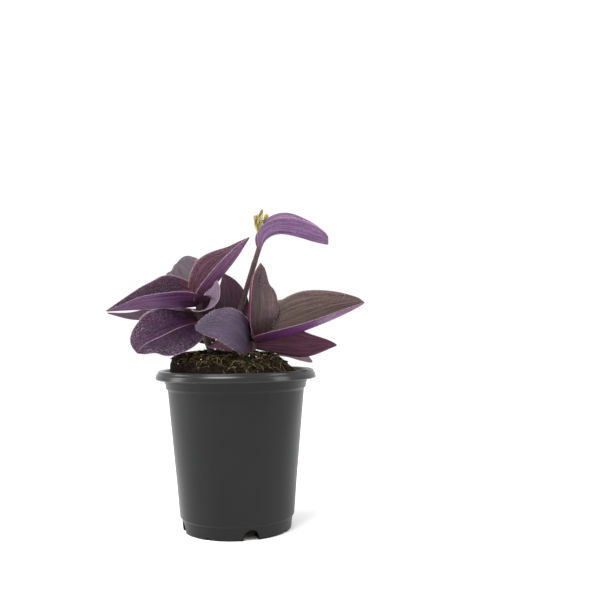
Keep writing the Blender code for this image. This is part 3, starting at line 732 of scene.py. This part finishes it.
def mix_height(x, y):
    """The potting mix's top: a low mound, steeper on the left, with lumps and crumbs."""
    reach = math.hypot((x + 4 * MM) / (47 * MM), y / (50 * MM))
    steepness = max(4, 6 - x / (5 * MM))
    mound = MIX_CREST * max(0, 1 - reach ** steepness) - MIX_EDGE_DROP * min(reach, 1.2) ** 6
    slope = FRONT_SLOPE * min(y, 0)
    lumps = 0.6 * MM * math.sin(x / (4.1 * MM) + 1.3 * math.sin(y / (5.3 * MM)))
    lumps += 0.5 * MM * math.sin(y / (3.3 * MM) + math.sin(x / (6.1 * MM)))
    place = Vector((x, y, 0))
    crumbs = 1.2 * MM * noise.noise(place / (2.4 * MM)) + 0.7 * MM * noise.noise(place / (1.1 * MM))
    return POT_HEIGHT + mound + slope + lumps * max(0, 1 - reach ** 4) + crumbs


def add_mix(material):
    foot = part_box("potting_mix")[0].z
    bm = bmesh.new()
    rings = []
    for i in range(1, MIX_RINGS + 1):
        ring = []
        for j in range(MIX_SEGMENTS):
            angle = math.tau * j / MIX_SEGMENTS
            radius = MIX_RADIUS * i / MIX_RINGS
            x, y = radius * math.cos(angle), radius * math.sin(angle)
            ring.append(bm.verts.new((x, y, mix_height(x, y))))
        rings.append(ring)
    for radius, height in ((MIX_RADIUS, POT_HEIGHT - MIX_SIDE), (MIX_FOOT_RADIUS, foot)):
        rings.append([bm.verts.new((radius * math.cos(math.tau * j / MIX_SEGMENTS),
                                    radius * math.sin(math.tau * j / MIX_SEGMENTS), height))
                      for j in range(MIX_SEGMENTS)])
    crown = bm.verts.new((0, 0, mix_height(0, 0)))
    for a, b in zip(rings, rings[1:]):
        for j in range(MIX_SEGMENTS):
            k = (j + 1) % MIX_SEGMENTS
            bm.faces.new([a[j], b[j], b[k], a[k]])
    for j in range(MIX_SEGMENTS):
        bm.faces.new([crown, rings[0][j], rings[0][(j + 1) % MIX_SEGMENTS]])
    bm.faces.new(rings[-1])
    return add_piece("potting_mix_top", bm, material, "potting_mix", "potting_mix")


def turn_about(direction, angle):
    return Matrix.Rotation(angle, 3, direction)


def scatter_crumbs(name, count, sizes, stretch, material, seed, lift=0.3):
    """Loose bits lying on the mix: small uneven blocks, each with its own size, turn and shade."""
    rng = random.Random(seed)
    bm = bmesh.new()
    shade_layer = bm.verts.layers.float.new("shade")
    for _ in range(count):
        radius = MIX_RADIUS * 0.97 * math.sqrt(rng.random())
        angle = rng.uniform(0, math.tau)
        x, y = radius * math.cos(angle), radius * math.sin(angle)
        size = rng.uniform(*sizes) * MM
        length = size * rng.uniform(*stretch)
        turn = turn_about(Vector((0, 0, 1)), rng.uniform(0, math.tau)) @ \
            turn_about(Vector((0, 1, 0)), rng.uniform(-0.7, 0.7))
        centre = Vector((x, y, mix_height(x, y) + lift * size))
        shade = rng.random()
        made = bmesh.ops.create_icosphere(bm, subdivisions=1, radius=1)
        for vert in made["verts"]:
            rough = 1 + rng.uniform(-0.28, 0.28)
            local = Vector((vert.co.x * length, vert.co.y * size, vert.co.z * size * 0.7)) * 0.5 * rough
            vert.co = centre + turn @ local
            vert[shade_layer] = shade
    return add_piece(name, bm, material, "potting_mix")


def scatter_fibres(name, count, length, width, material, seed):
    """Thin curved fibres and rootlets, half sunk in the mix or standing a little out of it."""
    rng = random.Random(seed)
    bm = bmesh.new()
    shade_layer = bm.verts.layers.float.new("shade")
    for _ in range(count):
        radius = MIX_RADIUS * 0.96 * math.sqrt(rng.random())
        angle = rng.uniform(0, math.tau)
        x, y = radius * math.cos(angle), radius * math.sin(angle)
        heading = rng.uniform(0, math.tau)
        reach = rng.uniform(*length) * MM
        bend, rise = rng.uniform(-1.6, 1.6), rng.uniform(0.05, 0.5)
        shade = rng.random()
        rings = []
        for i in range(8):
            t = i / 7
            turn = heading + bend * t
            px, py = x + reach * t * math.cos(turn), y + reach * t * math.sin(turn)
            if math.hypot(px, py) > MIX_RADIUS:
                break
            height = mix_height(px, py) + 0.2 * MM + rise * reach * math.sin(math.pi * t) * 0.5
            girth = width * MM * (1 - 0.6 * t)
            ring = []
            for k in range(4):
                spoke = Vector((-math.sin(turn) * math.cos(k * math.pi / 2),
                                math.cos(turn) * math.cos(k * math.pi / 2), math.sin(k * math.pi / 2)))
                vert = bm.verts.new(Vector((px, py, height)) + girth * spoke)
                vert[shade_layer] = shade
                ring.append(vert)
            rings.append(ring)
        if len(rings) < 3:
            bmesh.ops.delete(bm, geom=[vert for ring in rings for vert in ring], context="VERTS")
            continue
        for lower, upper in zip(rings, rings[1:]):
            for k in range(4):
                bm.faces.new([lower[k], lower[(k + 1) % 4], upper[(k + 1) % 4], upper[k]])
        bm.faces.new(rings[0])
        bm.faces.new(rings[-1])
    return add_piece(name, bm, material, "potting_mix")


def add_hairs(material):
    """Short pale hairs that fringe every leaf's margins."""
    rng = random.Random(11)
    bm = bmesh.new()
    shade_layer = bm.verts.layers.float.new("shade")
    for number, (name, leaf) in enumerate(LEAVES.items()):
        rows = leaf_surface(leaf, 150, 3, number)
        normals = surface_normals(rows)
        paleness = COLOURS[name][2]
        for i in range(3, len(rows) - 2):
            for j, inner in ((0, 1), (-1, -2)):
                for _ in range(2):
                    if rng.random() > 0.35 + 0.6 * paleness:
                        continue
                    root = rows[i][j].lerp(rows[i + 1][j], rng.random())
                    outward = (rows[i][j] - rows[i][inner]).normalized()
                    lengthwise = (rows[i + 1][j] - rows[i][j]).normalized()
                    normal = normals[i][j]
                    direction = (outward + lengthwise * rng.uniform(0, 0.9) + normal * rng.uniform(-0.5, 0.5))
                    direction.normalize()
                    length = HAIR_LENGTH * rng.uniform(0.5, 1.2)
                    shade = rng.random()
                    side = direction.cross(normal).normalized()
                    corners = [bm.verts.new(root - outward * 0.2 * MM + spoke * HAIR_WIDTH / 2)
                               for spoke in (side, normal, -side - normal)]
                    tip = bm.verts.new(root + direction * length)
                    for vert in (*corners, tip):
                        vert[shade_layer] = shade
                    bm.faces.new(corners)
                    for k in range(3):
                        bm.faces.new([corners[k], corners[(k + 1) % 3], tip])
    return add_piece("margin_hairs", bm, material, "leaf")


def add_bud(name, around, lean, length, material, seed):
    """One spent flower: a stalk with a bundle of dry pointed sepals."""
    rng = random.Random(seed)
    top = in_metres(STEMS["flower_stem"][1])[-1]
    outward = Vector((math.cos(math.radians(around)), math.sin(math.radians(around)), 0))
    tilt = math.radians(lean)
    axis = outward * math.sin(tilt) + Vector((0, 0, math.cos(tilt)))
    foot = top + Vector((0, 0, 1 * MM)) + outward * BUD_RING
    side = axis.orthogonal().normalized()
    across = axis.cross(side)
    bm = bmesh.new()
    shade_layer = bm.verts.layers.float.new("shade")

    def spindle(start, direction, reach, girth, flat, shade):
        """A closed, pointed, slightly flat sliver from start along direction."""
        one = direction.orthogonal().normalized()
        two = direction.cross(one)
        spin = rng.uniform(0, math.tau)
        one, two = math.cos(spin) * one + math.sin(spin) * two, math.cos(spin) * two - math.sin(spin) * one
        rings = []
        for along, share in ((0, 0.35), (0.25, 0.8), (0.5, 1), (0.75, 0.75), (0.92, 0.35)):
            ring = []
            for i in range(8):
                angle = math.tau * i / 8
                spoke = math.cos(angle) * one + flat * math.sin(angle) * two
                bend = outward * reach * 0.18 * along * along
                vert = bm.verts.new(start + direction * reach * along + bend + girth * share * spoke)
                vert[shade_layer] = shade
                ring.append(vert)
            rings.append(ring)
        for lower, upper in zip(rings, rings[1:]):
            for i in range(8):
                bm.faces.new([lower[i], lower[(i + 1) % 8], upper[(i + 1) % 8], upper[i]])
        bm.faces.new(rings[0])
        bm.faces.new(rings[-1])

    spindle(foot, axis, length * MM * 0.62, 0.6 * MM, 1, 0.75)
    for _ in range(SEPALS):
        angle = rng.uniform(0, math.tau)
        spoke = math.cos(angle) * side + math.sin(angle) * across
        level = rng.uniform(0.05, 0.72)
        start = foot + axis * length * MM * level + spoke * 0.5 * MM
        direction = (axis + spoke * rng.uniform(0.1, 0.55) + SEPAL_LEAN).normalized()
        spindle(start, direction, rng.uniform(4.5, 7.5) * MM, rng.uniform(1.1, 1.9) * MM,
                rng.uniform(0.35, 0.6), rng.random())
    return add_piece(name, bm, material, "spent_flower", name)


# ---------------------------------------------------------------- studio
def add_light(name, place, target, size, power, colour=(1, 1, 1)):
    data = bpy.data.lights.new(name, "AREA")
    data.shape = "RECTANGLE"
    data.size, data.size_y = size
    data.energy = power
    data.color = colour
    light = bpy.data.objects.new(name, data)
    bpy.context.collection.objects.link(light)
    light.location = place
    light.rotation_euler = (Vector(target) - Vector(place)).to_track_quat("-Z", "Y").to_euler()
    return light


def add_studio():
    bm = bmesh.new()
    bmesh.ops.create_grid(bm, x_segments=2, y_segments=2, size=6)
    mesh = bpy.data.meshes.new("floor")
    bm.to_mesh(mesh)
    bm.free()
    floor = bpy.data.objects.new("floor", mesh)
    bpy.context.collection.objects.link(floor)
    finish = Finish("paper_floor")
    grain = finish.noise(finish.position(), 30, 3)
    finish.set(Base_Color=finish.mix(grain, (0.96, 0.96, 0.96), (0.98, 0.98, 0.98)), Roughness=0.8)
    mesh.materials.append(finish.material)

    world = bpy.data.worlds.new("studio")
    bpy.context.scene.world = world
    world.use_nodes = True
    background = world.node_tree.nodes["Background"]
    background.inputs["Color"].default_value = (1, 1, 1, 1)
    background.inputs["Strength"].default_value = 1.04

    centre = (0, 0, 0.12)
    add_light("key", (-0.5, -0.7, 1.5), centre, (0.9, 0.9), 30)
    add_light("fill", (1.1, -0.5, 0.6), centre, (0.5, 1.1), 7)
    add_light("side", (-1.1, 0.0, 0.4), centre, (0.4, 1.0), 7)


def add_camera():
    """A camera about 0.58 m in front, level with the leaves, turned so that the plant sits left of centre."""
    data = bpy.data.cameras.new("camera")
    data.sensor_width = 36
    data.lens = 46.2
    camera = bpy.data.objects.new("camera", data)
    bpy.context.collection.objects.link(camera)
    turn = Matrix.Rotation(math.radians(-4.79), 4, "Z")
    pitch = Matrix.Rotation(math.radians(90 + 2.13), 4, "X")
    roll = Matrix.Rotation(math.radians(-0.73), 4, "Z")
    camera.matrix_world = Matrix.Translation((0, -0.575, 0.1455)) @ turn @ pitch @ roll
    bpy.context.scene.camera = camera


def main():
    bpy.context.scene.view_settings.view_transform = "Standard"
    add_pot()
    for number, (name, leaf) in enumerate(LEAVES.items()):
        add_leaf(name, leaf, number)
    stem = stem_finish()
    for name, (radius, route) in STEMS.items():
        add_stem(name, radius, route, stem)
    add_mix(mix_finish())
    scatter_crumbs("mix_crumbs", 2600, (0.5, 1.9), (1, 2.6), speck_finish(
        "crumb", (0.0025, 0.0016, 0.0011), (0.020, 0.011, 0.006), 0.95), 3)
    scatter_crumbs("moss_tufts", 700, (0.5, 1.5), (1, 1.6), speck_finish(
        "moss", (0.007, 0.008, 0.003), (0.038, 0.038, 0.010), 0.95), 5, 0.6)
    scatter_crumbs("perlite", 14, (1.0, 1.9), (1, 1.3), speck_finish(
        "perlite", (0.55, 0.55, 0.52), (0.85, 0.85, 0.82), 0.8), 8, 0.5)
    scatter_fibres("mix_fibres", 620, (3, 12), 0.09, speck_finish(
        "fibre", (0.020, 0.012, 0.006), (0.52, 0.40, 0.20), 0.7), 7)
    add_hairs(speck_finish("hair", (0.55, 0.40, 0.50), (0.85, 0.75, 0.80), 0.5))
    dry = speck_finish("dry_sepal", (0.12, 0.085, 0.02), (0.72, 0.62, 0.26), 0.75)
    for number, (around, lean, length) in enumerate(BUDS):
        add_bud(f"bud_{number + 1}", around, lean, length, dry, FIRST_BUD_SEED + number)
    add_studio()
    add_camera()


main()
